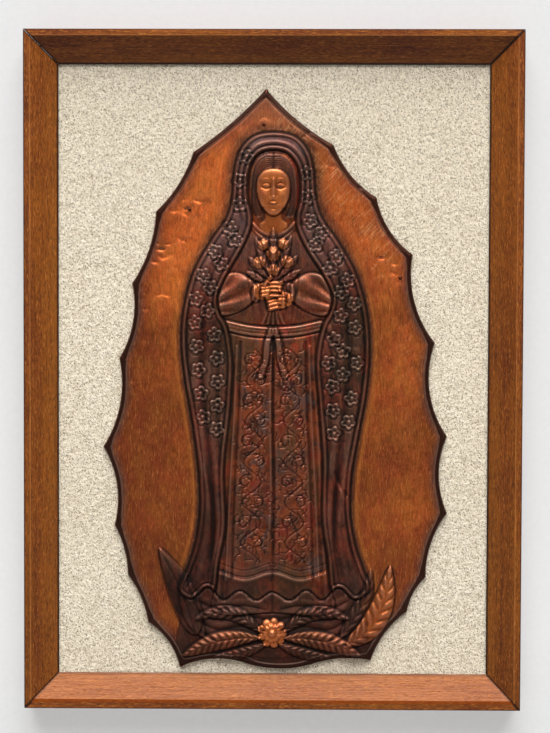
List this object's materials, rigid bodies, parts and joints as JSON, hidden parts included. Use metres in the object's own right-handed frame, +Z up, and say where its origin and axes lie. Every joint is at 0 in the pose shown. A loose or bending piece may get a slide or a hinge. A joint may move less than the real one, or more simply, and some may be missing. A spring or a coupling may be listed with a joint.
{
  "type": "framed copper repousse plaque",
  "caption": "Framed wall plaque: a hammered copper sheet in relief with a scalloped edge on a stucco-coated board, in a mitred wooden frame with D-ring hangers.",
  "frame": {"origin": "middle of the top rail's back face, in the plane that lies against the wall", "axes": "+X to the right seen from the front, +Y out of the back towards the wall, +Z up"},
  "size_m": [0.61, 0.0445, 0.832],
  "materials": {
    "wood": "oiled, worn",
    "plywood": "raw",
    "stucco": "rough, matt",
    "copper": "hammered, dark patina, rubbed bright on the relief",
    "dark_copper": "dark patina",
    "steel": "zinc plated",
    "felt": "matt"
  },
  "bodies": {
    "picture": {"frame_rail_top": "wood", "frame_rail_bottom": "wood", "frame_rail_left": "wood", "frame_rail_right": "wood", "board_brad_top_1": "steel", "board_brad_top_2": "steel", "board_brad_bottom_1": "steel", "board_brad_bottom_2": "steel", "board_brad_left_1": "steel", "board_brad_left_2": "steel", "board_brad_right_1": "steel", "board_brad_right_2": "steel", "hanger_strap_left": "steel", "hanger_screw_left_1": "steel", "hanger_screw_left_2": "steel", "wall_bumper_left": "felt", "hanger_strap_right": "steel", "hanger_screw_right_1": "steel", "hanger_screw_right_2": "steel", "wall_bumper_right": "felt", "mitre_nail_bottom_left": "steel", "mitre_nail_bottom_right": "steel", "mitre_nail_top_left": "steel", "mitre_nail_top_right": "steel", "backing_board": "plywood", "stucco_coat": "stucco", "plaque_core": "plywood", "copper_plaque": "copper", "plaque_pin_1": "dark_copper", "plaque_pin_2": "dark_copper", "plaque_pin_3": "dark_copper", "core_screw_1": "steel", "core_screw_2": "steel", "core_screw_3": "steel", "core_screw_4": "steel"},
    "left_ring": {"hanger_ring_left": "steel"},
    "right_ring": {"hanger_ring_right": "steel"}
  },
  "joints": [
    {"name": "left_ring_hinge", "type": "hinge", "parent": "picture", "child": "left_ring", "pos_m": [-0.281, 0.002, -0.184], "axis": [0, 0, 1], "range_deg": [0, 165]},
    {"name": "right_ring_hinge", "type": "hinge", "parent": "picture", "child": "right_ring", "pos_m": [0.281, 0.002, -0.184], "axis": [0, 0, -1], "range_deg": [0, 165]}
  ]
}
